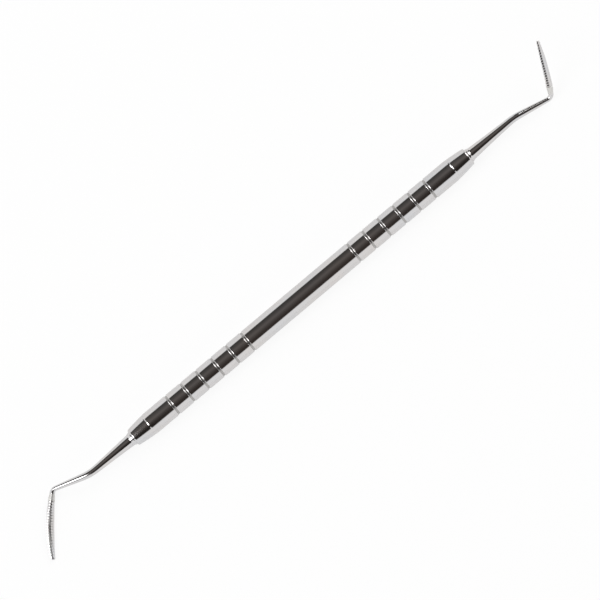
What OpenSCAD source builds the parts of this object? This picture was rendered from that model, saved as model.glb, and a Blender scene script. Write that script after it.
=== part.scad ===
// Double-ended bone file: a turned steel handle with two forged file ends set in its noses.
// The handle lies along X with its middle at the origin, on a surface below it. Each end is
// drawn from its nose outwards: a straight, a bend, the knee, and the toothed blade.

/* [Handle] */
// Overall length of the handle, nose face to nose face
handle_len = 108.8; // [90:0.1:140]
// Diameter of the handle
handle_d = 6; // [5.6:0.1:8]
// Length of each tapered nose, from its turned line to its end face
nose_len = 5; // [3:0.1:8]
// Diameter of a nose at its turned line
nose_start_d = 5.86; // [5.2:0.02:5.96]
// Diameter of a nose at its end face
nose_d = 4.7; // [4.2:0.1:5.2]
// How far the side of a nose bulges beyond a straight taper
nose_bulge = 0.05; // [0:0.01:0.2]
// Radius of the rounded edge at the end face
nose_round = 0.4; // [0.1:0.05:0.6]
// Length over which the handle eases down to the turned line
nose_ease = 1.2; // [0.5:0.1:2]
// Width of the turned line
line_w = 0.32; // [0.2:0.02:0.6]
// Depth of the turned line
line_depth = 0.08; // [0.05:0.01:0.25]

/* [Grip rings] */
// Number of ring grooves on each side of the plain middle
ring_count = 6; // [1:1:6]
// Distance from the middle of the handle to the first groove
ring_first = 17.2; // [10:0.1:18]
// Distance from groove to groove
ring_pitch = 4.89; // [2:0.01:5]
// Width of a groove at the surface
ring_w = 0.78; // [0.4:0.02:1.2]
// Depth of a groove
ring_depth = 0.2; // [0.1:0.02:0.4]
// Radius of a groove's rounded lips
ring_lip = 0.08; // [0.02:0.01:0.14]

/* [Tang and socket] */
// Diameter of the tang that seats each end in the handle
tang_d = 2.2; // [1.6:0.1:2.6]
// Length of the tang
tang_len = 9; // [5:0.5:14]
// Chamfer at the tang's end
tang_chamfer = 0.3; // [0.1:0.1:0.6]
// Space for the braze round the tang
braze_gap = 0.02; // [0.01:0.01:0.06]
// Space left at the bottom of the socket
socket_end_gap = 0.4; // [0.1:0.1:1]

/* [Shank] */
// Diameter of the shank's foot, where it seats on the nose
foot_d = 3.7; // [3:0.1:4]
// Diameter just past the foot
root_d = 3.16; // [2.6:0.02:3.4]
// Length of the foot's flare
foot_len = 1.3; // [0.5:0.1:2]
// Diameter at the first bend
waist_d = 1.78; // [1.4:0.02:2.4]
// Diameter at the knee
knee_d = 1.22; // [1:0.02:1.6]
// Centreline radius of the first bend
bend_r = 12; // [6:0.5:16]
// Centreline radius of the knee
knee_r = 1.4; // [1:0.1:3]

/* [Blade] */
// Length of a blade from the knee's corner to its tip
blade_len = 17.6; // [12:0.1:22]
// Width of the blade at its shoulder
blade_w = 2.16; // [1.6:0.02:3]
// Width of the blade at its tip
tip_w = 1.12; // [0.8:0.02:1.6]
// Thickness of the blade at its shoulder
blade_t = 1.5; // [1.1:0.02:2]
// Thickness of the blade at its tip
tip_t = 0.64; // [0.5:0.02:1]
// Share of the toothed length that keeps nearly the full width
full_share = 0.55; // [0.2:0.05:0.8]
// Share of the toothed length over which the blade swells to its full width
swell_share = 0.25; // [0.05:0.05:0.5]
// Depth of the gaps between the teeth
tooth_depth = 0.2; // [0.06:0.01:0.22]
// Slant of the teeth across the blade
tooth_slant = 10; // [0:1:20]

/* [Left end] */
// Distance from the nose to the first bend
left_bend_at = 13.9; // [10:0.1:16]
// Distance from the nose to the knee, along the handle's axis
left_knee_at = 23.5; // [20:0.1:28]
// How far the knee stands off to the side of the handle's axis
left_knee_off = 3.05; // [1:0.05:4]
// Angle of the blade to the handle's axis, seen from above
left_heading = 50.5; // [35:0.1:80]
// How far the blade bows sideways, as its angle at the shoulder
left_bow = 8; // [-12:0.1:12]
// Turn of the blade about its own length
left_turn = -20; // [-60:1:60]
// Smooth neck between the knee's corner and the first tooth
left_neck = 2.9; // [2:0.1:5]
// Distance from tooth to tooth
left_pitch = 0.67; // [0.4:0.01:1]
// Share of the blade's section that is left on this end
left_share = 1; // [0.7:0.02:1.1]
// Share of the blade's width at its first tooth
left_start = 0.82; // [0.7:0.02:1]

/* [Right end] */
// Distance from the nose to the first bend
right_bend_at = 14.6; // [10:0.1:16]
// Distance from the nose to the knee, along the handle's axis
right_knee_at = 25.1; // [20:0.1:28]
// How far the knee stands off to the side of the handle's axis
right_knee_off = 2.15; // [1:0.05:4]
// How far the knee dips below the handle's axis
right_knee_drop = 1.7; // [0:0.05:2]
// Angle of the blade to the handle's axis, seen from above
right_heading = 64.8; // [35:0.1:80]
// Angle at which the blade rises from the surface that the handle lies on
right_lift = 34.8; // [0:0.1:45]
// How far the blade bows sideways, as its angle at the shoulder
right_bow = 3; // [-12:0.1:12]
// How far the blade arches upwards, as its angle at the shoulder
right_arch = 9; // [-12:0.1:12]
// Turn of the blade about its own length
right_turn = 30; // [-60:1:60]
// Smooth neck between the knee's corner and the first tooth
right_neck = 4; // [2:0.1:5]
// Distance from tooth to tooth
right_pitch = 0.74; // [0.4:0.01:1]
// Share of the blade's section that is left on this end
right_share = 0.86; // [0.7:0.02:1.1]
// Share of the blade's width at its first tooth
right_start = 1; // [0.7:0.02:1]

/* [Hidden] */

steel = [0.78, 0.79, 0.8];
bright_steel = [0.84, 0.85, 0.86];

handle_r = handle_d / 2;
nose_x = handle_len / 2;
line_x = nose_x - nose_len;
ring_x = [for (i = [0:ring_count - 1]) ring_first + i * ring_pitch];

// Steps in a quarter of a rounded edge
lip_steps = 4;
nose_steps = 8;
bend_steps = 7;
knee_steps = 10;
neck_steps = 4;
// Corners of the swept sections, and how far the tang runs into the shank
sides = 24;
tang_sink = 0.6;

// Fractions of a tooth's pitch: top of the steep flank, and end of the flat crest
crest_from = 0.32;
crest_to = 0.62;
// Fraction of a pitch before the first gap, and share of the gaps' depth that is left at the tip
tooth_lead = 0.1;
tip_gap = 0.75;
// Share of a tooth's pitch that the rounded tip takes, and where its rings stand on the round
tip_round = 0.8;
tip_angles = [15, 40, 65, 85];

// Where the rings of the foot's flare stand, and how early the shank thins
foot_rings = [0, 0.35, 0.7, 1];
shank_ease = 1.35;
// How much of the narrowing falls in the full-width stretch, and how late the rest comes
full_loss = 0.12;
taper_ease = 1.15;
// Growth from the round knee to the blade: where it starts, over how much of the knee,
// how far the width has come there, and how much of the bevelled section shows
grow_from = 0.55;
grow_over = 0.9;
knee_growth = 0.45;
knee_leaf = 0.3;

// How far a cutter runs past the face that it opens
cut_over = 1;

function unit(v) = v / norm(v);
function mix(a, b, t) = a + (b - a) * t;
function smooth(t) = t <= 0 ? 0 : t >= 1 ? 1 : t * t * (3 - 2 * t);

// A quarter circle of profile points about c, from angle a to angle b
function arc(c, r, a, b, steps) =
    [for (i = [0:steps]) let (t = mix(a, b, i / steps)) c + r * [cos(t), sin(t)]];

// Half of the handle's profile: each point is distance along the axis, radius
function groove(x) = let (
        r = handle_r,
        wall = ring_w / 2 - ring_lip,
        floor_r = r - ring_depth)
    concat(
        arc([x - wall - ring_lip, r - ring_lip], ring_lip, 90, 0, lip_steps),
        [[x - wall, floor_r], [x + wall, floor_r]],
        arc([x + wall + ring_lip, r - ring_lip], ring_lip, 180, 90, lip_steps));

function nose_side_r(t) =
    (nose_start_d + (nose_d - nose_start_d) * t) / 2 + nose_bulge * 4 * t * (1 - t);

// Side of the nose, stopped where the rounded edge takes over
function nose_profile() = let (stop = 1 - nose_round / nose_len)
    concat(
        [for (i = [0:nose_steps]) let (t = mix(line_w / 2 / nose_len, stop, i / nose_steps))
            [line_x + t * nose_len, nose_side_r(t)]],
        [for (i = [1:lip_steps * 2]) let (a = 90 * i / (lip_steps * 2))
            [nose_x - nose_round * (1 - sin(a)), nose_side_r(stop) - nose_round * (1 - cos(a))]]);

function half_profile() = concat(
    [[0, handle_r]],
    [for (x = ring_x) each groove(x)],
    [[line_x - nose_ease, handle_r], [line_x - nose_ease / 2, mix(handle_r, nose_start_d / 2, 0.3)],
     [line_x - line_w / 2, nose_start_d / 2], [line_x, nose_start_d / 2 - line_depth]],
    nose_profile(),
    [[nose_x, 0]]);

module half_handle() {
    rotate([0, 90, 0]) rotate_extrude($fn = 96)
        polygon([for (p = concat([[0, 0]], half_profile())) [p[1], p[0]]]);
}

module socket() {
    depth = tang_len + socket_end_gap;
    translate([nose_x - depth, 0, 0]) rotate([0, 90, 0])
        cylinder(r = tang_d / 2 + braze_gap, h = depth + cut_over, $fn = 48);
}

module handle() {
    color(steel) difference() {
        union() {
            half_handle();
            mirror([1, 0, 0]) half_handle();
        }
        socket();
        mirror([1, 0, 0]) socket();
    }
}

// Centreline of an end, from its nose: a straight, a bend, a straight, the knee and the blade.
// Each station is a point and the direction there.
function turn_stations(corner, from, to, r, steps) = let (
        across = unit(to - (from * to) * from),
        angle = acos(from * to),
        start = corner - r * tan(angle / 2) * from)
    [for (i = [0:steps]) let (a = angle * i / steps)
        [start + r * sin(a) * from + r * (1 - cos(a)) * across, cos(a) * from + sin(a) * across]];

function blade_point(root, out, tip, t) = let (reach = norm(tip - root), bend = root + out * reach / 2)
    [(1 - t) * (1 - t) * root + 2 * t * (1 - t) * bend + t * t * tip,
     unit((1 - t) * (bend - root) + t * (tip - bend))];

// How far the blade has narrowed, t from its shoulder to its tip
function taper(t) = t < full_share ? full_loss * t / full_share
    : mix(full_loss, 1, pow((t - full_share) / (1 - full_share), taper_ease));

// Unit sections, both walked from the edge: round for the shank, bevelled leaf for the blade
leaf_corners = [[1, 0.2], [0.58, 0.92], [0, 1], [-0.58, 0.92], [-1, 0.2],
    [-1, -0.2], [-0.58, -0.92], [0, -1], [0.58, -0.92], [1, -0.2]];
leaf_counts = [3, 2, 2, 3, 2, 3, 2, 2, 3, 2];

// Full width of a blade, t from its first tooth to its tip
function width_at(t, share, start) =
    mix(blade_w * mix(start, 1, smooth(t / swell_share)), tip_w, taper(t)) * share;

// How low the left blade hangs below its centreline, turned about its own length
function left_hang(t) = let (
        wide = width_at(t, left_share, left_start),
        thick = mix(blade_t, tip_t, t) * left_share)
    max([for (c = leaf_corners) c[0] * wide * sin(left_turn) + c[1] * thick * cos(left_turn)]) / 2;

// The left blade lies on the surface under the handle: it touches at its first tooth and a little
// further on. This is the slope of its centreline there, and what follows from it.
left_dip = min([for (t = [0.05:0.05:1])
    (left_hang(0) - left_hang(t)) / (t * (blade_len - left_neck))]);
left_lift = -asin(left_dip);
left_knee_drop = handle_r - left_hang(0) - left_neck * left_dip;

leaf = [for (i = [0:len(leaf_corners) - 1], j = [0:leaf_counts[i] - 1])
    mix(leaf_corners[i], leaf_corners[(i + 1) % len(leaf_corners)], j / leaf_counts[i])];
function round_point(i) = let (a = atan2(leaf[i][1], leaf[i][0])) [cos(a), sin(a)];

// One ring of a swept section: station, half width, half thickness, share of leaf, turn, slant
function ring(station, a, b, leafy, turn, slant = 0) = let (
        along = station[1],
        side = unit(cross([0, 0, 1], along)),
        up = cross(along, side))
    [for (i = [0:sides - 1]) let (
            p = mix(round_point(i), leaf[i], leafy),
            x = p[0] * a,
            y = p[1] * b,
            u = x * cos(turn) - y * sin(turn),
            v = x * sin(turn) + y * cos(turn))
        station[0] + side * u + up * v + along * (x * slant)];

// Direction of a blade that stands at an angle to the handle's axis and rises by lift
function heading_of(angle, lift) = [cos(lift) * cos(angle), cos(lift) * sin(angle), sin(lift)];

// The rings of one end, from the foot to the tip
function end_rings(bend_at, knee_at, knee_off, knee_drop, angle, lift, bow, turn, neck, pitch, share,
        start, arch = 0) = let (
        axis = [1, 0, 0],
        bend = [bend_at, 0, 0],
        knee = [knee_at, -knee_off, -knee_drop],
        slope = unit(knee - bend),
        tip = knee + blade_len * heading_of(angle, lift),
        out = heading_of(angle - bow, lift + arch),
        bend_arc = turn_stations(bend, axis, slope, bend_r, bend_steps),
        knee_arc = turn_stations(knee, slope, out, knee_r, knee_steps),
        root = knee_arc[knee_steps][0],
        shoulder = (neck - norm(root - knee)) / (blade_len - norm(root - knee)),
        teeth = floor((blade_len - neck) / pitch),
        tooth_step = (1 - shoulder) / (teeth + 0.5),
        slant = tan(tooth_slant),
        first_wide = blade_w * share * start,
        thick = blade_t * share,
        tip_wide = tip_w * share,
        tip_thick = tip_t * share)
    concat(
        [for (t = foot_rings) let (r = mix(root_d, foot_d, pow(1 - t, 2)) / 2)
            ring([[foot_len * t, 0, 0], axis], r, r, 0, 0)],
        [for (s = bend_arc) let (
                t = (norm(s[0]) - foot_len) / (norm(bend_arc[bend_steps][0]) - foot_len),
                r = mix(waist_d, root_d, pow(1 - t, shank_ease)) / 2)
            ring(s, r, r, 0, 0)],
        [for (i = [0:knee_steps]) let (
                t = i / knee_steps,
                grow = smooth((t - grow_from) / grow_over) * knee_growth)
            ring(knee_arc[i], mix(knee_d, first_wide, grow) / 2, mix(knee_d, thick, grow) / 2,
                smooth(t * 2 - 1) * knee_leaf, turn * smooth(t))],
        [for (i = [1:neck_steps]) let (
                t = i / neck_steps,
                grow = mix(smooth((1 - grow_from) / grow_over) * knee_growth, 1, smooth(t)),
                s = blade_point(root, out, tip, shoulder * t))
            ring(s, mix(knee_d, first_wide, grow) / 2, mix(knee_d, thick, grow) / 2,
                mix(knee_leaf, 1, smooth(t)), turn, slant * t)],
        [for (i = [0:teeth - 1], step = [[0, 1], [crest_from, 0], [crest_to, 0]]) let (
                t = (i + tooth_lead + step[0]) * tooth_step / (1 - shoulder),
                s = blade_point(root, out, tip, mix(shoulder, 1, t)),
                cut = tooth_depth * step[1] * mix(1, tip_gap, t))
            ring(s, width_at(t, share, start) / 2 - cut, mix(thick, tip_thick, t) / 2 - cut,
                1, turn, slant)],
        [for (a = tip_angles) let (
                t = mix(1 - tip_round * tooth_step, 1, sin(a)),
                s = blade_point(root, out, tip, t))
            ring(s, tip_wide / 2 * cos(a), tip_thick / 2 * cos(a), 1, turn, slant * cos(a))]);

module sweep(rings) {
    n = len(rings);
    last = sides - 1;
    polyhedron(
        points = [for (r = rings, p = r) p],
        faces = concat(
            [[for (i = [0:last]) i]],
            [for (k = [0:n - 2], i = [0:last]) let (j = (i + 1) % sides)
                each [[k * sides + i, (k + 1) * sides + i, (k + 1) * sides + j],
                      [k * sides + i, (k + 1) * sides + j, k * sides + j]]],
            [[for (i = [last:-1:0]) (n - 1) * sides + i]]),
        convexity = 6);
}

module tang() {
    rotate([0, -90, 0]) rotate_extrude($fn = 48)
        polygon([[0, -tang_sink], [tang_d / 2, -tang_sink], [tang_d / 2, tang_len - tang_chamfer],
            [tang_d / 2 - tang_chamfer, tang_len], [0, tang_len]]);
}

// One file end in the right nose
module working_end(rings) {
    color(bright_steel) translate([nose_x, 0, 0]) union() {
        sweep(rings);
        tang();
    }
}

module left_working_end() {
    rotate([0, 0, 180]) working_end(end_rings(left_bend_at, left_knee_at, left_knee_off,
        left_knee_drop, left_heading, left_lift, left_bow, left_turn, left_neck, left_pitch,
        left_share, left_start));
}

module right_working_end() {
    working_end(end_rings(right_bend_at, right_knee_at, right_knee_off,
        right_knee_drop, right_heading, right_lift, right_bow, right_turn, right_neck, right_pitch,
        right_share, right_start, right_arch));
}

handle();
left_working_end();
right_working_end();
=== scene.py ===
import math

import bmesh
import bpy
from mathutils import Matrix, Vector


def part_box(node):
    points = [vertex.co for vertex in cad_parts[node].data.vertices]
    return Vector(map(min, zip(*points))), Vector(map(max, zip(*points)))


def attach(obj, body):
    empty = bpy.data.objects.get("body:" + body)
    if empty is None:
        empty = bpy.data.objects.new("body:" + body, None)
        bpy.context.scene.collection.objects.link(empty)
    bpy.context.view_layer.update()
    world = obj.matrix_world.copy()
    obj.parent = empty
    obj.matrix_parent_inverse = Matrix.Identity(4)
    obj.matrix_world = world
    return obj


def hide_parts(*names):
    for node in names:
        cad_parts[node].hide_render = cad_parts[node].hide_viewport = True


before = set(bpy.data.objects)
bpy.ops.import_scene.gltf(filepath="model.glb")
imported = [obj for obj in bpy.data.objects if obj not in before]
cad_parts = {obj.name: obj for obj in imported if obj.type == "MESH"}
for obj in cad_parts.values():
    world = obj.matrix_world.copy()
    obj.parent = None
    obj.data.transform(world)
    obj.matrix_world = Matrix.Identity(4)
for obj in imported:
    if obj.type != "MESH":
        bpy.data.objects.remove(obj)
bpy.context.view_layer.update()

bl_info = {
    "name": "Bone file",
    "version": (1, 0, 0),
    "blender": (4, 5, 0),
    "location": "3D Viewport > Sidebar > Bone file",
    "description": "A double-ended bone file: ringed handle, two bent file ends, and a plain studio",
    "category": "Add Mesh",
}

HANDLE_LOW, HANDLE_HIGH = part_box("handle")
BODY = "root"


# Property helpers: lengths are written in millimetres and kept in metres

def length(name, millimetres, description):
    return bpy.props.FloatProperty(name=name, description=description, default=millimetres / 1000,
                                   unit="LENGTH", precision=5)


def turn(name, degrees, description):
    return bpy.props.FloatProperty(name=name, description=description, default=math.radians(degrees),
                                   subtype="ANGLE")


def share(name, value, description):
    return bpy.props.FloatProperty(name=name, description=description, default=value,
                                   min=0, soft_max=1, subtype="FACTOR")


def offset(name, value, description):
    return bpy.props.FloatProperty(name=name, description=description, default=value, min=-1, max=1)


def level(name, value, description):
    return bpy.props.FloatProperty(name=name, description=description, default=value, min=0)


def count(name, value, description):
    return bpy.props.IntProperty(name=name, description=description, default=value, min=1)


class BoneFileHandle(bpy.types.PropertyGroup):
    length: length("Length", 1000 * (HANDLE_HIGH.x - HANDLE_LOW.x), "Nose face to nose face")
    diameter: length("Diameter", 1000 * (HANDLE_HIGH.z - HANDLE_LOW.z), "Of the plain middle")
    rings: count("Rings", 6, "Ring grooves on each side of the plain middle")
    first_ring: length("First ring", 17.2, "From the middle to the first groove")
    ring_pitch: length("Ring pitch", 4.89, "From groove to groove")
    ring_width: length("Ring width", 0.78, "Of a groove at the surface")
    ring_depth: length("Ring depth", 0.2, "Of a groove")
    lip: length("Lip radius", 0.14, "Rounding of a groove's lips")
    nose: length("Nose length", 5, "From the turned line to the end face")
    nose_start: length("Nose start", 5.86, "Diameter of the nose at the turned line")
    nose_end: length("Nose end", 4.7, "Diameter of the nose at the end face")
    nose_bulge: length("Nose bulge", 0.05, "How far the nose stands beyond a straight taper")
    nose_round: length("Nose rounding", 0.4, "Radius of the edge at the end face")
    nose_ease: length("Nose ease", 1.2, "Over which the handle eases down to the line")
    line_width: length("Line width", 0.24, "Of the turned line")
    line_depth: length("Line depth", 0.06, "Of the turned line")
    steps: count("Steps", 160, "Facets round the handle")


class BoneFileEnds(bpy.types.PropertyGroup):
    tang: length("Tang diameter", 2.2, "Of the tang in the handle")
    tang_length: length("Tang length", 9, "Of the tang in the handle")
    tang_chamfer: length("Tang chamfer", 0.3, "At the tang's end")
    braze: length("Braze gap", 0.02, "Room for the braze round the tang")
    socket_room: length("Socket room", 0.4, "Left at the bottom of the socket")
    foot: length("Foot diameter", 3.7, "Of the shank where it seats on the nose")
    foot_length: length("Foot length", 1.3, "Of the foot, with its flare")
    foot_land: length("Foot land", 0.25, "Straight stretch between the nose and the flare")
    root: length("Root diameter", 3.16, "Just past the foot")
    waist: length("Waist diameter", 1.78, "At the first bend")
    knee: length("Knee diameter", 1.22, "At the knee")
    bend_radius: length("Bend radius", 12, "Of the first bend")
    knee_radius: length("Knee radius", 1.4, "Of the knee")
    blade: length("Blade length", 17.6, "From the knee's corner to the tip")
    width: length("Blade width", 2.16, "At the shoulder")
    tip_width: length("Tip width", 1.12, "At the tip")
    thickness: length("Blade thickness", 1.5, "At the shoulder")
    tip_thickness: length("Tip thickness", 0.64, "At the tip")
    full_share: share("Full width", 0.55, "Share of the toothed length that keeps nearly the full width")
    swell: share("Swell", 0.25, "Share of the toothed length over which the blade swells to its full width")
    depth: length("Tooth depth", 0.2, "Of the gaps between the teeth")
    slant: turn("Tooth slant", 10, "Of the teeth across the blade")
    cross_pitch: length("Cross cut pitch", 0.62, "From cut to cut of the second, finer cut")
    cross_depth: length("Cross cut depth", 0.03, "Of the second cut")
    cross_slant: turn("Cross cut slant", -38, "Of the second cut across the blade")
    sides: count("Sides", 8, "Points on each stretch of a section's outline")


class BoneFileLeftEnd(bpy.types.PropertyGroup):
    bend_at: length("First bend", 13.9, "From the nose")
    knee_at: length("Knee", 23.5, "From the nose, along the handle's axis")
    knee_off: length("Knee offset", 3.05, "To the side of the handle's axis")
    knee_drop: length("Knee drop", 2.132, "Below the handle's axis")
    heading: turn("Blade heading", 50.5, "To the handle's axis, seen from above")
    lift: turn("Blade lift", -0.86, "From the surface that the handle lies on")
    bow: turn("Bow", 8, "Of the blade sideways, at its shoulder")
    arch: turn("Arch", 0, "Of the blade upwards, at its shoulder")
    twist: turn("Twist", -20, "Of the blade about its own length")
    neck: length("Neck", 2.9, "From the knee's corner to the first tooth")
    pitch: length("Tooth pitch", 0.67, "From tooth to tooth")
    # Where across the blade the painted shade in the tooth gaps is darkest
    dark_line: offset("Dark line", -0.24, "Of the darkest tooth gaps across the blade, in half widths")
    size: share("Section", 1, "Share of the blade's full section")
    start: share("First width", 0.82, "Share of the blade's width at its first tooth")


class BoneFileRightEnd(bpy.types.PropertyGroup):
    bend_at: length("First bend", 14.6, "From the nose")
    knee_at: length("Knee", 25.1, "From the nose, along the handle's axis")
    knee_off: length("Knee offset", 2.15, "To the side of the handle's axis")
    knee_drop: length("Knee drop", 1.7, "Below the handle's axis")
    heading: turn("Blade heading", 64.8, "To the handle's axis, seen from above")
    lift: turn("Blade lift", 34.8, "From the surface that the handle lies on")
    bow: turn("Bow", 3, "Of the blade sideways, at its shoulder")
    arch: turn("Arch", 9, "Of the blade upwards, at its shoulder")
    twist: turn("Twist", 30, "Of the blade about its own length")
    neck: length("Neck", 4, "From the knee's corner to the first tooth")
    pitch: length("Tooth pitch", 0.74, "From tooth to tooth")
    # Where across the blade the painted shade in the tooth gaps is darkest
    dark_line: offset("Dark line", 0.5, "Of the darkest tooth gaps across the blade, in half widths")
    size: share("Section", 0.86, "Share of the blade's full section")
    start: share("First width", 1, "Share of the blade's width at its first tooth")


class BoneFileSteel(bpy.types.PropertyGroup):
    colour: bpy.props.FloatVectorProperty(name="Steel", description="Colour of the polished steel",
                                          subtype="COLOR", default=(0.66, 0.65, 0.65), min=0, max=1)
    roughness: share("Roughness", 0.1, "Of the polished steel")
    # Painted shade: the grooves' darker colour stands in for the shade and dark reflections in them; their
    # roughness is the unpolished finish
    groove: bpy.props.FloatVectorProperty(name="Grooves", description="Colour in the ring grooves",
                                          subtype="COLOR", default=(0.42, 0.41, 0.4), min=0, max=1)
    ground: share("Groove roughness", 0.3, "In the ring grooves, which the polish doesn't reach")
    neck: bpy.props.FloatVectorProperty(name="Necks", description="Colour of the satin necks by the teeth",
                                        subtype="COLOR", default=(0.7, 0.69, 0.67), min=0, max=1)
    satin: share("Neck roughness", 0.5, "Of the satin necks")
    # Painted shade: the near-black colour in the tooth gaps stands in for the shade and dark reflections
    # between the teeth
    gap: bpy.props.FloatVectorProperty(name="Tooth gaps", description="Colour in the gaps between the teeth",
                                       subtype="COLOR", default=(0.035, 0.03, 0.028), min=0, max=1)


class BoneFileStudio(bpy.types.PropertyGroup):
    white: level("Studio white", 1, "Level of the pale surroundings")
    dark_low: turn("Ceiling near edge", -45.5, "Turn from straight up to the ceiling's edge on the -Y side")
    dark_high: turn("Ceiling far edge", 73, "Turn from straight up to the ceiling's edge on the +Y side")
    dark_left: turn("Ceiling left edge", -20, "Tilt from straight up to the ceiling's edge on the -X side")
    dark_right: turn("Ceiling right edge", 35, "Tilt from straight up to the ceiling's edge on the +X side")
    strip_from: turn("Long strip from", -31, "Turn from straight up to where a strip without ends starts")
    strip_to: turn("Long strip to", -7, "Turn from straight up to where that strip stops")
    wing_left: turn("Wing left edge", 16, "Tilt from straight up to the left edge of the ceiling's far wing")
    wing_low: turn("Wing near edge", 60, "Turn from straight up to the near edge of the ceiling's far wing")
    wing_high: turn("Wing far edge", 105, "Turn from straight up to the far edge of the ceiling's far wing")
    dark_blur: turn("Ceiling blur across", 5, "Half the width of the soft edges across the handle")
    end_blur: turn("Ceiling blur along", 2, "Half the width of the soft edges along the handle")
    softbox: level("Softbox power", 11, "Power of each softbox, in watts")
    softbox_long: length("Softbox length", 1100, "Of a softbox's long sides")
    softbox_short: length("Softbox width", 700, "Of a softbox's short sides")
    softbox_away: length("Softbox distance", 1500, "From the middle of the handle")
    left_along: turn("Left softbox along", -42, "Tilt of the left softbox from straight up, along the handle")
    left_across: turn("Left softbox across", 14, "Turn of the left softbox from straight up")
    right_along: turn("Right softbox along", 50, "Tilt of the right softbox along the handle")
    right_across: turn("Right softbox across", 38, "Turn of the right softbox from straight up")
    floor_half: length("Floor", 10000, "Half the length of the floor's sides")
    camera_away: length("Camera distance", 3000, "From the handle to the camera")


# Outlines of the handle, as points of distance along the axis and distance from it. Steps in a groove's
# lip, in the foot of its wall, in the ease to the turned line, in the nose's taper and in its edge
LIP_STEPS, WALL_FOOT_STEPS, EASE_STEPS, TAPER_STEPS, EDGE_STEPS = 5, 2, 8, 14, 10
# A lip's radius over that of the wall's foot, and the share of the turned line's width that is flat on
# each side of its middle
LIP_OVER_FOOT, LINE_FLAT = 3, 0.125


def rounded(centre_x, centre_r, radius, start, end, steps):
    """A rounded edge from one angle to another, in degrees."""
    angles = [math.radians(start + (end - start) * i / steps) for i in range(steps + 1)]
    return [(centre_x + radius * math.cos(a), centre_r + radius * math.sin(a)) for a in angles]


def ring_groove(size, x):
    """A ring groove with rounded lips, and a point on each side that keeps the handle straight."""
    surface = size.diameter / 2
    floor = surface - size.ring_depth
    wall = size.ring_width / 2 - size.lip
    hold = size.lip / LIP_OVER_FOOT
    half = ([(-wall - size.lip - hold, surface)]
            + rounded(-wall - size.lip, surface - size.lip, size.lip, 90, 0, LIP_STEPS)
            + rounded(-wall + hold, floor + hold, hold, 180, 270, WALL_FOOT_STEPS)
            + [(-wall + 2 * hold, floor)])
    return ([(x + px, r) for px, r in half] + [(x - px, r) for px, r in reversed(half)])


def nose_outline(size):
    """The ease to the turned line, the line, the tapered nose and its rounded edge."""
    end_x = size.length / 2
    line_x = end_x - size.nose
    surface, start, end = size.diameter / 2, size.nose_start / 2, size.nose_end / 2
    stop = 1 - size.nose_round / size.nose

    def side(t):
        return start + (end - start) * t + size.nose_bulge * 4 * t * (1 - t)

    ease_from, ease_to = line_x - size.nose_ease, line_x - size.line_width / 2
    ease = [(ease_from + (ease_to - ease_from) * t, surface + (start - surface) * t * t)
            for t in (i / EASE_STEPS for i in range(EASE_STEPS + 1))]
    line = [(line_x - size.line_width * LINE_FLAT, start - size.line_depth),
            (line_x + size.line_width * LINE_FLAT, start - size.line_depth)]
    first = size.line_width / 2 / size.nose
    taper = [(line_x + size.nose * t, side(t))
             for t in (first + (stop - first) * i / TAPER_STEPS for i in range(TAPER_STEPS + 1))]
    edge = [(end_x - size.nose_round * (1 - math.sin(a)), side(stop) - size.nose_round * (1 - math.cos(a)))
            for a in (math.radians(90 * i / EDGE_STEPS) for i in range(1, EDGE_STEPS + 1))]
    return ease + line + taper + edge


def handle_outline(size, ends):
    """The whole handle, from the bottom of one socket round the outside to the other."""
    socket_r = ends.tang / 2 + ends.braze
    bottom = size.length / 2 - ends.tang_length - ends.socket_room
    half = [(0, size.diameter / 2)]
    for i in range(size.rings):
        half += ring_groove(size, size.first_ring + i * size.ring_pitch)
    half += nose_outline(size)
    half += [(size.length / 2, socket_r), (bottom, socket_r), (bottom, 0)]
    return [(-x, r) for x, r in reversed(half[1:])] + half


# Sections of the file ends

LEAF_CORNERS = ((1, 0.2), (0.72, 0.68), (0.45, 0.94), (0, 1), (-0.45, 0.94), (-0.72, 0.68), (-1, 0.2),
                (-1, -0.2), (-0.72, -0.68), (-0.45, -0.94), (0, -1), (0.45, -0.94), (0.72, -0.68), (1, -0.2))


def leaf_section(fineness):
    """The blade's bevelled section on a unit square, its corners eased a little."""
    points = []
    for i, corner in enumerate(LEAF_CORNERS):
        there = Vector(LEAF_CORNERS[(i + 1) % len(LEAF_CORNERS)])
        points += [Vector(corner).lerp(there, j / fineness) for j in range(fineness)]
    return [(points[i - 1] + 2 * p + points[(i + 1) % len(points)]) / 4 for i, p in enumerate(points)]


def mix(a, b, t):
    return a + (b - a) * t


def smooth(t):
    t = min(max(t, 0), 1)
    return t * t * (3 - 2 * t)


# How far a blade's line of painted shade in the tooth gaps fades out to both sides, as a share of the half
# # width, and how many such shares it reaches
DARK_LINE_FADE, DARK_LINE_REACH = 0.2, 1.5


class Station:
    """One ring of an end: a place and direction, and the section that stands there."""

    def __init__(self, place, along, half_width, half_thickness, leafy=0.0, twist=0.0, slant=0.0,
                 crossing=None, satin=0.0, gap=0.0, dark_line=0.0):
        self.place, self.along = place, along
        self.half_width, self.half_thickness = half_width, half_thickness
        self.leafy, self.twist, self.slant = leafy, twist, slant
        self.crossing = crossing
        self.satin = satin
        # How deep the tooth gap is here, which sets its painted shade, and where across the blade that shade
        # is darkest
        self.gap, self.dark_line = gap, dark_line

    def points(self, leaf):
        """The ring's corners in the end's own frame, each with how much painted shade its tooth gap gets
        there.
        """
        side = Vector((0, 0, 1)).cross(self.along).normalized()
        up = self.along.cross(side)
        for corner in leaf:
            p = corner.normalized().lerp(corner, self.leafy)
            cut = self.crossing(p) if self.crossing else 0
            x = p.x * self.half_width
            y = p.y * self.half_thickness - math.copysign(cut, p.y)
            u = x * math.cos(self.twist) - y * math.sin(self.twist)
            v = x * math.sin(self.twist) + y * math.cos(self.twist)
            off_line = abs(p.x * math.copysign(1, p.y) - self.dark_line) / DARK_LINE_FADE
            yield (self.place + side * u + up * v + self.along * (x * self.slant),
                   self.gap * smooth(DARK_LINE_REACH - off_line))


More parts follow.
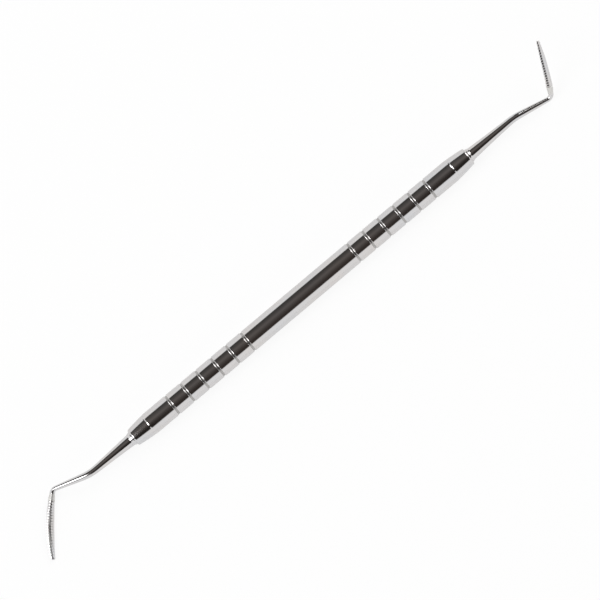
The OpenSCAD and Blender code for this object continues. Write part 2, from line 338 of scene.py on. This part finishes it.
def turn_stations(corner, before, after, radius, steps):
    """Places and directions round a bend at a corner."""
    across = (after - before.dot(after) * before).normalized()
    angle = math.acos(before.dot(after))
    start = corner - radius * math.tan(angle / 2) * before
    for i in range(steps + 1):
        a = angle * i / steps
        yield (start + radius * math.sin(a) * before + radius * (1 - math.cos(a)) * across,
               math.cos(a) * before + math.sin(a) * across)


def blade_place(root, out, tip, t):
    """Place and direction on the blade's gently bowed centreline."""
    bend = root + out * (tip - root).length / 2
    place = (1 - t) ** 2 * root + 2 * t * (1 - t) * bend + t * t * tip
    return place, ((1 - t) * (bend - root) + t * (tip - bend)).normalized()


# Rings along the foot, the straight shank, its first bend, the knee and the neck
FOOT_RINGS, SHANK_RINGS, BEND_RINGS, KNEE_RINGS, NECK_RINGS = 8, 12, 16, 24, 12
# How much of the narrowing falls in the full-width stretch, and how late the rest comes
FULL_LOSS, TAPER_EASE = 0.12, 1.15
# How early the shank thins
SHANK_EASE = 1.35
# Growth from the round knee to the blade: where it starts, over how much of the knee, how far the width
# has come there, and how much of the bevelled section shows
GROW_FROM, GROW_OVER, KNEE_GROWTH, KNEE_LEAF = 0.55, 0.9, 0.45, 0.3


def taper(t, full_share):
    """How far the blade has narrowed, from its shoulder to its tip."""
    if t < full_share:
        return FULL_LOSS * t / full_share
    return mix(FULL_LOSS, 1, ((t - full_share) / (1 - full_share)) ** TAPER_EASE)


# One tooth: fractions of its pitch, and how deep the surface is cut there
TOOTH = ((0, 1), (0.04, 0.9), (0.12, 0.4), (0.18, 0.03), (0.3, 0), (0.42, 0.03), (0.7, 0.5), (0.96, 0.95))
# Fraction of a pitch before the first gap, and the share of the gaps' depth that is left at the tip
TOOTH_LEAD, TIP_GAP = 0.1, 0.75
# Pitches kept for the tip past the last tooth, how many of them its rounding takes, and where the rings
# of the rounding lie, in degrees round it
TIP_PITCHES, TIP_ROUND, TIP_ANGLES = 0.5, 0.8, range(10, 90, 10)
# The second cut: from which height of the section it shows and over how much more it reaches its depth,
# how narrow it is, the share of the blade over which it starts, and the share of its depth at the tip
FACE_FROM, FACE_OVER, CROSS_NARROW, CROSS_START, CROSS_TIP = 0.55, 0.4, 2.6, 0.05, 0.5
# The satin finish starts over the first part of the neck: how many times faster than the neck is long
SATIN_START = 4


def direction(heading, lift):
    return Vector((math.cos(lift) * math.cos(heading), math.cos(lift) * math.sin(heading), math.sin(lift)))


def end_stations(ends, shape):
    """Every ring of one end, from the tang's end to the blade's tip."""
    axis = Vector((1, 0, 0))
    bend = Vector((shape.bend_at, 0, 0))
    knee = Vector((shape.knee_at, -shape.knee_off, -shape.knee_drop))
    slope = (knee - bend).normalized()
    tip = knee + ends.blade * direction(shape.heading, shape.lift)
    out = direction(shape.heading - shape.bow, shape.lift + shape.arch)
    bend_arc = list(turn_stations(bend, axis, slope, ends.bend_radius, BEND_RINGS))
    knee_arc = list(turn_stations(knee, slope, out, ends.knee_radius, KNEE_RINGS))
    root = knee_arc[-1][0]
    lead = (root - knee).length
    shoulder = (shape.neck - lead) / (ends.blade - lead)
    teeth = math.floor((ends.blade - shape.neck) / shape.pitch)
    tooth_step = (1 - shoulder) / (teeth + TIP_PITCHES)
    slant = math.tan(ends.slant)
    wide, thick = ends.width * shape.size, ends.thickness * shape.size
    first_wide = wide * shape.start
    tip_wide, tip_thick = ends.tip_width * shape.size, ends.tip_thickness * shape.size

    def round_ring(x, radius):
        return Station(Vector((x, 0, 0)), axis, radius, radius)

    rings = [round_ring(-ends.tang_length, ends.tang / 2 - ends.tang_chamfer),
             round_ring(-ends.tang_length + ends.tang_chamfer, ends.tang / 2),
             round_ring(0, ends.tang / 2), round_ring(0, ends.foot / 2)]
    for i in range(FOOT_RINGS + 1):
        t = i / FOOT_RINGS
        rings.append(round_ring(mix(ends.foot_land, ends.foot_length, t),
                                mix(ends.foot, ends.root, 1 - (1 - t) ** 2) / 2))

    bend_length = bend_arc[-1][0].length - ends.foot_length
    bend_start = bend_arc[0][0].x
    straight = [(Vector((mix(ends.foot_length, bend_start, i / SHANK_RINGS), 0, 0)), axis)
                for i in range(1, SHANK_RINGS)]
    for place, along in straight + bend_arc:
        t = (place.length - ends.foot_length) / bend_length
        radius = mix(ends.root, ends.waist, 1 - (1 - t) ** SHANK_EASE) / 2
        rings.append(Station(place, along, radius, radius))

    def grown_ring(place, along, grow, leafy, twist, slope=0.0, satin=0.0):
        """A section between the round knee and the blade's first tooth."""
        return Station(place, along, mix(ends.knee, first_wide, grow) / 2, mix(ends.knee, thick, grow) / 2,
                       leafy, twist, slope, satin=satin)

    for i, (place, along) in enumerate(knee_arc):
        t = i / (len(knee_arc) - 1)
        grow = smooth((t - GROW_FROM) / GROW_OVER) * KNEE_GROWTH
        rings.append(grown_ring(place, along, grow, smooth(t * 2 - 1) * KNEE_LEAF, shape.twist * smooth(t)))
    for i in range(1, NECK_RINGS + 1):
        t = i / NECK_RINGS
        grow = mix(smooth((1 - GROW_FROM) / GROW_OVER) * KNEE_GROWTH, 1, smooth(t))
        place, along = blade_place(root, out, tip, shoulder * t)
        rings.append(grown_ring(place, along, grow, mix(KNEE_LEAF, 1, smooth(t)), shape.twist, slant * t,
                                smooth(SATIN_START * t)))

    blade_reach = (tip - root).length

    def cross_cut(distance, half_width, strength):
        """The second cut, at its own slant, on the broad faces only."""
        def depth_at(p):
            run = (distance + p.x * half_width * (math.tan(ends.cross_slant) - slant)) / ends.cross_pitch
            on_face = smooth((abs(p.y) - FACE_FROM) / FACE_OVER)
            return ends.cross_depth * strength * on_face * smooth(1 - CROSS_NARROW * abs(run % 1 - 0.5))
        return depth_at

    for i in range(teeth):
        for fraction, depth in TOOTH:
            t = (i + TOOTH_LEAD + fraction) * tooth_step / (1 - shoulder)
            whole = mix(shoulder, 1, t)
            place, along = blade_place(root, out, tip, whole)
            cut = ends.depth * depth * mix(1, TIP_GAP, t)
            here = mix(first_wide, wide, smooth(t / ends.swell))
            half_width = mix(here, tip_wide, taper(t, ends.full_share)) / 2
            strength = smooth(t / CROSS_START) * mix(1, CROSS_TIP, t)
            # The gap's depth sets the painted shade in it, darkest along the end's dark line
            rings.append(Station(place, along, half_width - cut, mix(thick, tip_thick, t) / 2 - cut, 1,
                                 shape.twist, slant, cross_cut(whole * blade_reach, half_width, strength),
                                 gap=depth, dark_line=shape.dark_line))
    for angle in TIP_ANGLES:
        shrink = math.cos(math.radians(angle))
        t = mix(1 - TIP_ROUND * tooth_step, 1, math.sin(math.radians(angle)))
        place, along = blade_place(root, out, tip, t)
        rings.append(Station(place, along, tip_wide / 2 * shrink, tip_thick / 2 * shrink, 1,
                             shape.twist, slant * shrink))
    return rings


# Meshes: the angle in degrees past which an edge stays sharp, and how close points are merged, in metres
HANDLE_SHARP, END_SHARP = 40, 50
MERGE_WITHIN = 1e-7


def finished_piece(name, bm, material, node, sharp_degrees):
    """Makes the object, shades it, and lets it stand for its CAD node."""
    for face in bm.faces:
        face.smooth = True
    mesh = bpy.data.meshes.new(name)
    bm.to_mesh(mesh)
    bm.free()
    mesh.set_sharp_from_angle(angle=math.radians(sharp_degrees))
    mesh.materials.append(material)
    piece = bpy.data.objects.new(name, mesh)
    bpy.context.scene.collection.objects.link(piece)
    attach(piece, BODY)
    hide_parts(node)
    return piece


def loft(stations, leaf):
    """Draws one ring out of the last, from station to station, and closes both ends."""
    bm = bmesh.new()
    # Vertex layers: the satin finish of the necks, and the painted shade in the tooth gaps
    satin = bm.verts.layers.float.new("satin")
    gap = bm.verts.layers.float.new("gap")
    # The circle's own radius doesn't matter: the first station puts its corners in place
    bmesh.ops.create_circle(bm, cap_ends=True, radius=0.001, segments=len(leaf))
    bm.verts.ensure_lookup_table()
    ring = list(bm.verts)
    edges = list(bm.edges)
    for number, station in enumerate(stations):
        if number:
            made = bmesh.ops.extrude_edge_only(bm, edges=edges)["geom"]
            fresh = {item for item in made if isinstance(item, bmesh.types.BMVert)}
            ring = [next(e.other_vert(v) for e in v.link_edges if e.other_vert(v) in fresh) for v in ring]
            edges = [item for item in made if isinstance(item, bmesh.types.BMEdge)
                     and item.verts[0] in fresh and item.verts[1] in fresh]
        for vertex, (place, dark) in zip(ring, station.points(leaf)):
            vertex.co = place
            vertex[satin] = station.satin
            vertex[gap] = dark
    bmesh.ops.contextual_create(bm, geom=edges)
    bmesh.ops.recalc_face_normals(bm, faces=bm.faces)
    return bm


# Where a Mix node keeps its two inputs and its result, for colours and for numbers
COLOUR_MIX, NUMBER_MIX = (6, 7, 2), (2, 3, 0)
# Materials: how far the tone of a steel moves to its warm and cool patches, how far the tool lines move
# its roughness, how close the lines lie along x, y and z, and how high they stand, in metres
STEEL_TONE, LINE_SPREAD = 0.25, 0.05
TURNED_LINES, TURNED_HEIGHT = (2600, 12, 12), 0.0000012
DRAWN_LINES, DRAWN_HEIGHT = (90, 2200, 2200), 0.000001
# How close the steel's patches lie, and where the cool and the warm ones are at their strongest, with
# their colours
PATCHES_PER_METRE = 150
COOL_PATCH, WARM_PATCH = (0.3, (0.82, 0.88, 0.95, 1)), (0.7, (1, 0.9, 0.82, 1))


def add_node(tree, kind, at, **settings):
    made = tree.nodes.new(kind)
    made.location = at
    for key, value in settings.items():
        setattr(made, key, value)
    return made


def node_group(name, inputs, outputs):
    """An empty shader group with its sockets, its input node and its output node."""
    group = bpy.data.node_groups.new(name, "ShaderNodeTree")
    for socket, kind, *default in inputs:
        made = group.interface.new_socket(name=socket, in_out="INPUT", socket_type=kind)
        if default:
            made.default_value = default[0]
    for socket, kind in outputs:
        group.interface.new_socket(name=socket, in_out="OUTPUT", socket_type=kind)
    return (group, add_node(group, "NodeGroupInput", (-900, 0)), add_node(group, "NodeGroupOutput", (500, 0)))


def steel_tone_group():
    """Warm and cool patches of a polished steel surface."""
    group, given, result = node_group(
        "Steel tone",
        [("Colour", "NodeSocketColor"), ("Amount", "NodeSocketFloat", STEEL_TONE),
         ("Patches per metre", "NodeSocketFloat", PATCHES_PER_METRE)],
        [("Colour", "NodeSocketColor")])
    where = add_node(group, "ShaderNodeTexCoord", (-900, 300))
    patches = add_node(group, "ShaderNodeTexNoise", (-600, 200))
    patches.inputs["Detail"].default_value = 3
    ramp = add_node(group, "ShaderNodeValToRGB", (-400, 200))
    for stop, (position, colour) in zip(ramp.color_ramp.elements, (COOL_PATCH, WARM_PATCH)):
        stop.position = position
        stop.color = colour
    blend = add_node(group, "ShaderNodeMix", (200, 100), data_type="RGBA", blend_type="MULTIPLY")
    first, second, mixed = COLOUR_MIX
    group.links.new(where.outputs["Object"], patches.inputs["Vector"])
    group.links.new(given.outputs["Patches per metre"], patches.inputs["Scale"])
    group.links.new(patches.outputs["Fac"], ramp.inputs["Fac"])
    group.links.new(given.outputs["Amount"], blend.inputs[0])
    group.links.new(given.outputs["Colour"], blend.inputs[first])
    group.links.new(ramp.outputs["Color"], blend.inputs[second])
    group.links.new(blend.outputs[mixed], result.inputs["Colour"])
    return group


def fine_lines_group():
    """Fine tool lines: their height, and how they change the roughness."""
    group, given, result = node_group(
        "Fine lines",
        [("Lines per metre", "NodeSocketVector"), ("Roughness", "NodeSocketFloat"),
         ("Spread", "NodeSocketFloat", LINE_SPREAD)],
        [("Height", "NodeSocketFloat"), ("Roughness", "NodeSocketFloat")])
    where = add_node(group, "ShaderNodeTexCoord", (-900, 300))
    stretch = add_node(group, "ShaderNodeVectorMath", (-700, 200), operation="MULTIPLY")
    lines = add_node(group, "ShaderNodeTexNoise", (-500, 200))
    lines.inputs["Scale"].default_value = 1
    lines.inputs["Detail"].default_value = 2
    centred = add_node(group, "ShaderNodeMath", (-300, 0), operation="SUBTRACT")
    centred.inputs[1].default_value = 0.5
    spread = add_node(group, "ShaderNodeMath", (-100, 0), operation="MULTIPLY_ADD")
    group.links.new(where.outputs["Object"], stretch.inputs[0])
    group.links.new(given.outputs["Lines per metre"], stretch.inputs[1])
    group.links.new(stretch.outputs[0], lines.inputs["Vector"])
    group.links.new(lines.outputs["Fac"], centred.inputs[0])
    group.links.new(centred.outputs[0], spread.inputs[0])
    group.links.new(given.outputs["Spread"], spread.inputs[1])
    group.links.new(given.outputs["Roughness"], spread.inputs[2])
    group.links.new(lines.outputs["Fac"], result.inputs["Height"])
    group.links.new(spread.outputs[0], result.inputs["Roughness"])
    return group


def shared_group(name, maker):
    return bpy.data.node_groups.get(name) or maker()


def steel_finish_and_painted_shade(tree, shader, mask, colour, roughness):
    """Lets a mask take over the steel's colour and roughness: a satin finish on the necks, and painted shade
    in the ring grooves and the tooth gaps.
    """
    for socket, kind, value in (("Base Color", "RGBA", (*colour, 1)), ("Roughness", "FLOAT", roughness)):
        blend = add_node(tree, "ShaderNodeMix", (-150, 300), data_type=kind)
        first, second, result = COLOUR_MIX if kind == "RGBA" else NUMBER_MIX
        polished = shader.inputs[socket].links[0].from_socket
        tree.links.new(mask, blend.inputs[0])
        tree.links.new(polished, blend.inputs[first])
        blend.inputs[second].default_value = value
        tree.links.new(blend.outputs[result], shader.inputs[socket])


# Share of a groove's depth at which its painted shade starts
GROOVE_SHADE_FROM = 0.25


def groove_shade_mask(tree, size):
    """1 in the ring grooves and 0 on the surface, from the distance to the handle's axis: where the painted
    shade goes.
    """
    last_ring = size.first_ring + size.rings * size.ring_pitch
    where = add_node(tree, "ShaderNodeTexCoord", (-1100, 700))
    across = add_node(tree, "ShaderNodeVectorMath", (-900, 700), operation="MULTIPLY")
    across.inputs[1].default_value = (0, 1, 1)
    from_axis = add_node(tree, "ShaderNodeVectorMath", (-700, 700), operation="LENGTH")
    deep = add_node(tree, "ShaderNodeMapRange", (-500, 700))
    deep.inputs["From Min"].default_value = size.diameter / 2 - size.ring_depth * GROOVE_SHADE_FROM
    deep.inputs["From Max"].default_value = size.diameter / 2 - size.ring_depth
    parts = add_node(tree, "ShaderNodeSeparateXYZ", (-900, 500))
    from_middle = add_node(tree, "ShaderNodeMath", (-700, 500), operation="ABSOLUTE")
    ringed = add_node(tree, "ShaderNodeMath", (-500, 500), operation="LESS_THAN")
    ringed.inputs[1].default_value = last_ring
    both = add_node(tree, "ShaderNodeMath", (-300, 600), operation="MULTIPLY")
    tree.links.new(where.outputs["Object"], across.inputs[0])
    tree.links.new(across.outputs[0], from_axis.inputs[0])
    tree.links.new(from_axis.outputs["Value"], deep.inputs["Value"])
    tree.links.new(where.outputs["Object"], parts.inputs[0])
    tree.links.new(parts.outputs["X"], from_middle.inputs[0])
    tree.links.new(from_middle.outputs[0], ringed.inputs[0])
    tree.links.new(deep.outputs[0], both.inputs[0])
    tree.links.new(ringed.outputs[0], both.inputs[1])
    return both.outputs[0]


def steel_material(name, look, lines, height):
    """Polished steel with tool lines. Returns the material and its shader."""
    material = bpy.data.materials.new(name)
    material.use_nodes = True
    tree = material.node_tree
    shader = tree.nodes["Principled BSDF"]
    shader.inputs["Metallic"].default_value = 1
    colour = add_node(tree, "ShaderNodeGroup", (-500, 300))
    colour.node_tree = shared_group("Steel tone", steel_tone_group)
    colour.inputs["Colour"].default_value = (*look.colour, 1)
    marks = add_node(tree, "ShaderNodeGroup", (-700, 0))
    marks.node_tree = shared_group("Fine lines", fine_lines_group)
    marks.inputs["Lines per metre"].default_value = lines
    marks.inputs["Roughness"].default_value = look.roughness
    relief = add_node(tree, "ShaderNodeBump", (-300, -200))
    relief.inputs["Strength"].default_value = 1
    relief.inputs["Distance"].default_value = height
    tree.links.new(colour.outputs["Colour"], shader.inputs["Base Color"])
    tree.links.new(marks.outputs["Roughness"], shader.inputs["Roughness"])
    tree.links.new(marks.outputs["Height"], relief.inputs["Height"])
    tree.links.new(relief.outputs["Normal"], shader.inputs["Normal"])
    return material, shader


# Operators

class BONEFILE_OT_handle(bpy.types.Operator):
    """Turn the ringed handle with its tapered noses and the sockets for the ends"""
    bl_idname = "bonefile.handle"
    bl_label = "Handle"

    def execute(self, context):
        scene = context.scene
        size, look = scene.bone_file_handle, scene.bone_file_steel
        bm = bmesh.new()
        outline = handle_outline(size, scene.bone_file_ends)
        points = [bm.verts.new((x, 0, r)) for x, r in outline]
        edges = [bm.edges.new(pair) for pair in zip(points, points[1:])]
        bmesh.ops.spin(bm, geom=points + edges, cent=(0, 0, 0), axis=(1, 0, 0), dvec=(0, 0, 0),
                       angle=math.tau, steps=size.steps,
                       use_merge=True, use_normal_flip=False, use_duplicate=False)
        bmesh.ops.remove_doubles(bm, verts=bm.verts, dist=MERGE_WITHIN)
        bmesh.ops.recalc_face_normals(bm, faces=bm.faces)
        material, shader = steel_material("handle_steel", look, TURNED_LINES, TURNED_HEIGHT)
        tree = material.node_tree
        # The ring grooves: painted shade in a darker colour, with a rougher unpolished finish
        steel_finish_and_painted_shade(tree, shader, groove_shade_mask(tree, size), look.groove, look.ground)
        piece = finished_piece("turned_handle", bm, material, "handle", HANDLE_SHARP)
        return {"FINISHED"}


class BONEFILE_OT_file_ends(bpy.types.Operator):
    """Draw the two bent shanks and cut their file blades"""
    bl_idname = "bonefile.file_ends"
    bl_label = "File ends"

    def execute(self, context):
        scene = context.scene
        ends, look = scene.bone_file_ends, scene.bone_file_steel
        material, shader = steel_material("working_end_steel", look, DRAWN_LINES, DRAWN_HEIGHT)
        tree = material.node_tree
        satin = add_node(tree, "ShaderNodeAttribute", (-500, 600), attribute_name="satin")
        steel_finish_and_painted_shade(tree, shader, satin.outputs["Fac"], look.neck, look.satin)
        # The tooth gaps: painted shade in a near-black colour, with a rougher finish
        gap = add_node(tree, "ShaderNodeAttribute", (-500, 900), attribute_name="gap")
        steel_finish_and_painted_shade(tree, shader, gap.outputs["Fac"], look.gap, look.satin)
        leaf = leaf_section(ends.sides)
        nose = Matrix.Translation((scene.bone_file_handle.length / 2, 0, 0))
        for side, shape, about in (("left", scene.bone_file_left, math.pi),
                                   ("right", scene.bone_file_right, 0)):
            bm = loft(end_stations(ends, shape), leaf)
            bmesh.ops.transform(bm, verts=bm.verts, matrix=Matrix.Rotation(about, 4, "Z") @ nose)
            piece = finished_piece(side + "_file_end", bm, material, side + "_working_end", END_SHARP)
        return {"FINISHED"}


class BONEFILE_OT_studio(bpy.types.Operator):
    """Lay the pale floor, hang the softboxes, and stand the camera over the file"""
    bl_idname = "bonefile.studio"
    bl_label = "Studio"

    def execute(self, context):
        scene, studio = context.scene, context.scene.bone_file_studio
        scene.view_settings.view_transform = "Standard"
        make_floor(studio, -scene.bone_file_handle.diameter / 2)
        make_surroundings(scene, studio)
        make_softbox(studio, "left_softbox", studio.left_along, studio.left_across)
        make_softbox(studio, "right_softbox", studio.right_along, studio.right_across)
        make_camera(scene, studio)
        return {"FINISHED"}


# How much of the plain white floor shows to the camera and to the polished steel. The rest is lit paper,
# which keeps the shadow.
FLOOR_SEEN, FLOOR_MIRRORED = 0.9, 0.5
PAPER = (0.9, 0.9, 0.9, 1)


def make_floor(studio, height):
    """A white floor. What the eye and the steel see of it is mostly plain white, with a trace of shadow."""
    bm = bmesh.new()
    bmesh.ops.create_grid(bm, x_segments=1, y_segments=1, size=studio.floor_half)
    bmesh.ops.translate(bm, verts=bm.verts, vec=(0, 0, height))
    mesh = bpy.data.meshes.new("floor")
    bm.to_mesh(mesh)
    bm.free()
    material = bpy.data.materials.new("white_floor")
    material.use_nodes = True
    tree = material.node_tree
    paper = tree.nodes["Principled BSDF"]
    paper.inputs["Base Color"].default_value = PAPER
    paper.inputs["Roughness"].default_value = 1
    paper.inputs["Specular IOR Level"].default_value = 0
    glow = add_node(tree, "ShaderNodeEmission", (0, -200))
    glow.inputs["Strength"].default_value = studio.white
    path = add_node(tree, "ShaderNodeLightPath", (-900, 300))
    mirrored = add_node(tree, "ShaderNodeMath", (-700, 200), operation="MAXIMUM")
    amount = add_node(tree, "ShaderNodeMath", (-500, 200), operation="MULTIPLY")
    amount.inputs[1].default_value = FLOOR_MIRRORED
    seen = add_node(tree, "ShaderNodeMath", (-300, 300), operation="MULTIPLY_ADD")
    seen.inputs[1].default_value = FLOOR_SEEN
    blend = add_node(tree, "ShaderNodeMixShader", (200, 200))
    tree.links.new(path.outputs["Is Glossy Ray"], mirrored.inputs[0])
    tree.links.new(path.outputs["Is Transmission Ray"], mirrored.inputs[1])
    tree.links.new(mirrored.outputs[0], amount.inputs[0])
    tree.links.new(path.outputs["Is Camera Ray"], seen.inputs[0])
    tree.links.new(amount.outputs[0], seen.inputs[2])
    tree.links.new(seen.outputs[0], blend.inputs[0])
    tree.links.new(paper.outputs[0], blend.inputs[1])
    tree.links.new(glow.outputs[0], blend.inputs[2])
    tree.links.new(blend.outputs[0], tree.nodes["Material Output"].inputs["Surface"])
    mesh.materials.append(material)
    floor = bpy.data.objects.new("floor", mesh)
    bpy.context.scene.collection.objects.link(floor)


# The dark ceiling across the handle: turn from straight up, and its colour there, over the handle's
# middle and beyond it to both sides
CEILING_MIDDLE = ((-44, (0.045, 0.034, 0.028)), (-24, (0.07, 0.056, 0.05)), (-1, (0.11, 0.097, 0.09)),
                  (24, (0.115, 0.103, 0.098)), (42, (0.065, 0.06, 0.056)), (70, (0.045, 0.043, 0.041)))
CEILING_BEYOND = ((-44, (0.02, 0.016, 0.014)), (-22, (0.024, 0.019, 0.017)), (-3, (0.056, 0.049, 0.045)),
                  (18, (0.145, 0.13, 0.122)), (36, (0.115, 0.106, 0.1)), (70, (0.05, 0.048, 0.046)))
# Tilt along the handle at which the ceiling over the middle starts to give way, and where it ends
MIDDLE_TO, BEYOND_FROM = math.radians(0.2), math.radians(1.2)
HALF_TURN = 180


def ceiling_ramp(tree, turned, colours, at):
    """The ceiling's colours across the handle."""
    ramp = add_node(tree, "ShaderNodeValToRGB", at)
    stops = ramp.color_ramp.elements
    while len(stops) < len(colours):
        stops.new(1)
    for stop, (angle, colour) in zip(stops, colours):
        stop.position = 0.5 + angle / (2 * HALF_TURN)
        stop.color = (*colour, 1)
    tree.links.new(turned.outputs[0], ramp.inputs["Fac"])
    return ramp


def between_edges(tree, angle, low, high, blur, row):
    """1 between two angles and 0 outside them, with soft edges."""
    inside = add_node(tree, "ShaderNodeMath", (-600, row), operation="MULTIPLY")
    for side, (edge, soft) in enumerate(((low, blur), (high, -blur))):
        fade = add_node(tree, "ShaderNodeMapRange", (-800, row - 120 * side), interpolation_type="SMOOTHSTEP")
        fade.inputs["From Min"].default_value = edge - soft
        fade.inputs["From Max"].default_value = edge + soft
        tree.links.new(angle.outputs[0], fade.inputs["Value"])
        tree.links.new(fade.outputs[0], inside.inputs[side])
    return inside.outputs[0]


def make_surroundings(scene, studio):
    """Pale surroundings with a dark ceiling over the object."""
    world = bpy.data.worlds.new("studio")
    world.use_nodes = True
    scene.world = world
    tree = world.node_tree
    where = add_node(tree, "ShaderNodeTexCoord", (-1400, 0))
    parts = add_node(tree, "ShaderNodeSeparateXYZ", (-1200, 0))
    across = add_node(tree, "ShaderNodeMath", (-1000, 100), operation="ARCTAN2")
    along = add_node(tree, "ShaderNodeMath", (-1000, -100), operation="ARCSINE")
    tree.links.new(where.outputs["Generated"], parts.inputs[0])
    tree.links.new(parts.outputs["Y"], across.inputs[0])
    tree.links.new(parts.outputs["Z"], across.inputs[1])
    tree.links.new(parts.outputs["X"], along.inputs[0])
    overhead = between_edges(tree, along, studio.dark_left, studio.dark_right, studio.end_blur, 300)
    strip = between_edges(tree, across, studio.strip_from, studio.strip_to, studio.dark_blur, 0)
    breadth = between_edges(tree, across, studio.dark_low, studio.dark_high, studio.dark_blur, -300)
    either = add_node(tree, "ShaderNodeMath", (-450, 150), operation="MAXIMUM")
    cover = add_node(tree, "ShaderNodeMath", (-400, -100), operation="MULTIPLY")
    tree.links.new(overhead, either.inputs[0])
    tree.links.new(strip, either.inputs[1])
    tree.links.new(either.outputs[0], cover.inputs[0])
    tree.links.new(breadth, cover.inputs[1])
    wing_along = between_edges(tree, along, studio.wing_left, studio.dark_right, studio.end_blur, -600)
    wing_across = between_edges(tree, across, studio.wing_low, studio.wing_high, studio.dark_blur, -900)
    wing = add_node(tree, "ShaderNodeMath", (-400, -400), operation="MULTIPLY")
    covered = add_node(tree, "ShaderNodeMath", (-350, -200), operation="MAXIMUM")
    tree.links.new(wing_along, wing.inputs[0])
    tree.links.new(wing_across, wing.inputs[1])
    tree.links.new(cover.outputs[0], covered.inputs[0])
    tree.links.new(wing.outputs[0], covered.inputs[1])
    turned = add_node(tree, "ShaderNodeMapRange", (-800, 600))
    turned.inputs["From Min"].default_value = -math.pi
    turned.inputs["From Max"].default_value = math.pi
    tree.links.new(across.outputs[0], turned.inputs["Value"])
    over_middle = ceiling_ramp(tree, turned, CEILING_MIDDLE, (-600, 900))
    beyond = ceiling_ramp(tree, turned, CEILING_BEYOND, (-600, 600))
    off_middle = add_node(tree, "ShaderNodeMath", (-1000, 900), operation="ABSOLUTE")
    give_way = add_node(tree, "ShaderNodeMapRange", (-800, 900), interpolation_type="SMOOTHSTEP")
    give_way.inputs["From Min"].default_value = MIDDLE_TO
    give_way.inputs["From Max"].default_value = BEYOND_FROM
    ceiling = add_node(tree, "ShaderNodeMix", (-350, 700), data_type="RGBA")
    tree.links.new(along.outputs[0], off_middle.inputs[0])
    tree.links.new(off_middle.outputs[0], give_way.inputs["Value"])
    tree.links.new(give_way.outputs[0], ceiling.inputs[0])
    first, second, mixed = COLOUR_MIX
    tree.links.new(over_middle.outputs["Color"], ceiling.inputs[first])
    tree.links.new(beyond.outputs["Color"], ceiling.inputs[second])
    shade = add_node(tree, "ShaderNodeMix", (-250, 0), data_type="RGBA")
    shade.inputs[first].default_value = (studio.white, studio.white, studio.white, 1)
    tree.links.new(ceiling.outputs[mixed], shade.inputs[second])
    tree.links.new(covered.outputs[0], shade.inputs[0])
    tree.links.new(shade.outputs[mixed], tree.nodes["Background"].inputs["Color"])


def make_softbox(studio, name, along, across):
    """A softbox off one end of the file, aimed at the handle, its long sides along the handle."""
    lamp = bpy.data.lights.new(name, "AREA")
    lamp.shape = "RECTANGLE"
    lamp.size = studio.softbox_long
    lamp.size_y = studio.softbox_short
    lamp.energy = studio.softbox
    upright = Vector((0, math.sin(across), math.cos(across)))
    handle_way = Vector((1, 0, 0))
    towards = math.sin(along) * handle_way + math.cos(along) * upright
    beside = math.cos(along) * handle_way - math.sin(along) * upright
    turned = Matrix((beside, towards.cross(beside), towards)).transposed()
    box = bpy.data.objects.new(name, lamp)
    box.location = towards * studio.softbox_away
    box.rotation_euler = turned.to_euler()
    box.visible_camera = False
    bpy.context.scene.collection.objects.link(box)


# Where the photograph holds the handle's middle, in pixels from its top left corner
PHOTO_SIDE = 600
PHOTO_MIDDLE_X, PHOTO_MIDDLE_Y = 300.86, 296.92
PHOTO_PIXELS_PER_METRE = 4030
PHOTO_AXIS_TILT = math.radians(40.04)
# The camera's sensor in millimetres, and how far it sees in metres
SENSOR, CLIP_END = 36, 100


def make_camera(scene, studio):
    """A long lens straight above, turned so that the handle runs to the upper right."""
    data = bpy.data.cameras.new("camera")
    data.sensor_width = SENSOR
    data.lens = SENSOR * studio.camera_away * PHOTO_PIXELS_PER_METRE / PHOTO_SIDE
    data.clip_end = CLIP_END
    right = Vector((math.cos(PHOTO_AXIS_TILT), -math.sin(PHOTO_AXIS_TILT), 0))
    up = Vector((math.sin(PHOTO_AXIS_TILT), math.cos(PHOTO_AXIS_TILT), 0))
    aside = right * (PHOTO_MIDDLE_X - PHOTO_SIDE / 2) + up * (PHOTO_SIDE / 2 - PHOTO_MIDDLE_Y)
    camera = bpy.data.objects.new("camera", data)
    camera.location = Vector((0, 0, studio.camera_away)) - aside / PHOTO_PIXELS_PER_METRE
    camera.rotation_euler = (0, 0, -PHOTO_AXIS_TILT)
    scene.collection.objects.link(camera)
    scene.camera = camera


class VIEW3D_PT_bone_file(bpy.types.Panel):
    """Sizes and steps of the bone file"""
    bl_label = "Bone file"
    bl_space_type = "VIEW_3D"
    bl_region_type = "UI"
    bl_category = "Bone file"

    def draw(self, context):
        for name in SETTINGS:
            box = self.layout.box()
            group = getattr(context.scene, name)
            for key in group.__annotations__:
                box.prop(group, key)
        for step in STEPS:
            self.layout.operator(step.bl_idname)


SETTINGS = {
    "bone_file_handle": BoneFileHandle,
    "bone_file_ends": BoneFileEnds,
    "bone_file_left": BoneFileLeftEnd,
    "bone_file_right": BoneFileRightEnd,
    "bone_file_steel": BoneFileSteel,
    "bone_file_studio": BoneFileStudio,
}
STEPS = (BONEFILE_OT_handle, BONEFILE_OT_file_ends, BONEFILE_OT_studio)


def register():
    for made in (*SETTINGS.values(), *STEPS, VIEW3D_PT_bone_file):
        bpy.utils.register_class(made)
    for name, made in SETTINGS.items():
        setattr(bpy.types.Scene, name, bpy.props.PointerProperty(type=made))


def unregister():
    for name in SETTINGS:
        delattr(bpy.types.Scene, name)
    for made in (VIEW3D_PT_bone_file, *reversed(STEPS), *reversed(SETTINGS.values())):
        bpy.utils.unregister_class(made)


def main():
    register()
    bpy.ops.bonefile.handle()
    bpy.ops.bonefile.file_ends()
    bpy.ops.bonefile.studio()


if __name__ == "__main__":
    main()
